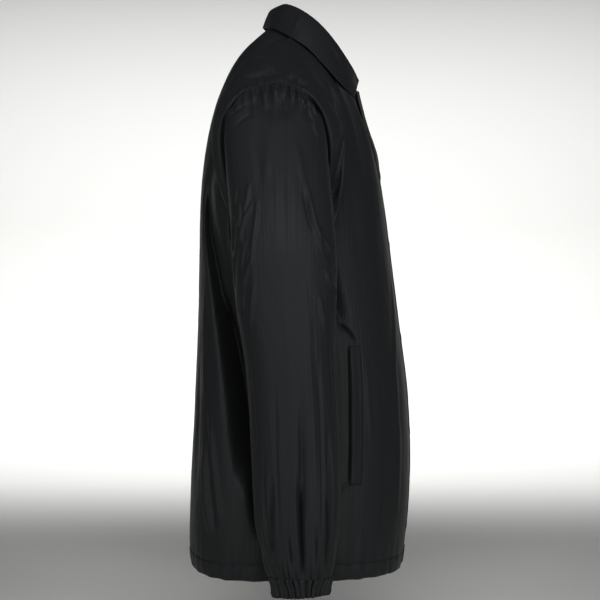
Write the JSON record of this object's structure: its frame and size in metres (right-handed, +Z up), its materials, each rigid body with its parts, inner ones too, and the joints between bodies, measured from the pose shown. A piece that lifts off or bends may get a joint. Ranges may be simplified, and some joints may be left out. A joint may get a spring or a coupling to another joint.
{
  "type": "windbreaker",
  "caption": "Hollow nylon windbreaker in its worn shape: turned-down collar, snap front, gathered sleeve heads, elastic cuffs, welt pockets and a hem casing.",
  "frame": {"origin": "midway between the two neck points, where the wearer's shoulders carry the jacket", "axes": "+Z up, -Y the way the front faces, +X the wearer's left"},
  "size_m": [0.6322, 0.3037, 0.7769],
  "materials": {
    "shell_nylon": "plain-woven black nylon with a soft satin sheen",
    "snap_enamel": "black enamel on a pressed metal cap"
  },
  "bodies": {
    "root": {"back": "shell_nylon", "front_right": "shell_nylon", "front_left": "shell_nylon", "sleeve_right": "shell_nylon", "sleeve_left": "shell_nylon", "cuff_right": "shell_nylon", "cuff_left": "shell_nylon", "hem_back": "shell_nylon", "hem_front_right": "shell_nylon", "hem_front_left": "shell_nylon", "collar": "shell_nylon", "pocket_welt_right": "shell_nylon", "pocket_welt_left": "shell_nylon", "snap_1": "snap_enamel", "snap_2": "snap_enamel", "snap_3": "snap_enamel", "snap_4": "snap_enamel", "snap_5": "snap_enamel"}
  },
  "joints": []
}
